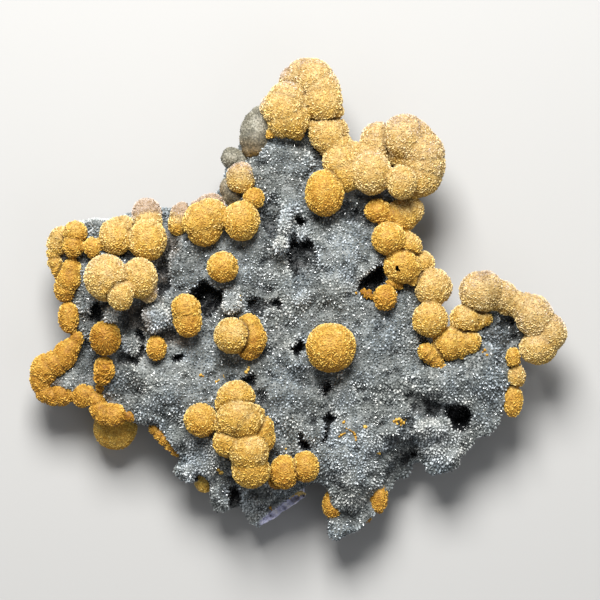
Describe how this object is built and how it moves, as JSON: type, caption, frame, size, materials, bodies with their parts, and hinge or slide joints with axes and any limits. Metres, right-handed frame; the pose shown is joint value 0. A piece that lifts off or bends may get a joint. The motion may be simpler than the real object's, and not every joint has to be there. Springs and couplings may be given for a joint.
{
  "type": "gyrolite specimen",
  "caption": "Golden balls of radiating gyrolite in fused clusters, grown over a jagged, pitted plate of sparkling druzy quartz that lies on its flat back.",
  "frame": {"origin": "on the table under the middle of the specimen's bounding box", "axes": "+Z out of the crystal side, +X to the right and +Y up the plate as seen from the front"},
  "size_m": [0.136, 0.1217, 0.0328],
  "materials": {
    "druzy_quartz": "sparkling",
    "golden_gyrolite": "matte",
    "pale_gyrolite": "satin"
  },
  "bodies": {
    "root": {"druzy_quartz_plate": "druzy_quartz", "crown_balls": "golden_gyrolite", "pale_domes": "pale_gyrolite", "small_pale_dome": "pale_gyrolite", "shoulder_balls": "golden_gyrolite", "vug_ball": "golden_gyrolite", "arm_balls": "golden_gyrolite", "arm_tail_balls": "golden_gyrolite", "centre_ball": "golden_gyrolite", "middle_ball": "golden_gyrolite", "saddle_balls": "golden_gyrolite", "saddle_crest_ball": "golden_gyrolite", "left_ridge_balls": "golden_gyrolite", "front_trio": "golden_gyrolite", "hook_balls": "golden_gyrolite", "under_ball": "golden_gyrolite", "rust_ball": "golden_gyrolite", "bumpy_ball": "golden_gyrolite", "small_left_ball": "golden_gyrolite", "twin_balls": "golden_gyrolite", "paired_balls": "golden_gyrolite", "edge_roll": "golden_gyrolite", "lone_ball": "golden_gyrolite", "column_balls": "golden_gyrolite", "lower_pair": "golden_gyrolite", "tip_left_ball": "golden_gyrolite", "tip_right_ball": "golden_gyrolite", "sheltered_ball": "golden_gyrolite"}
  },
  "joints": []
}
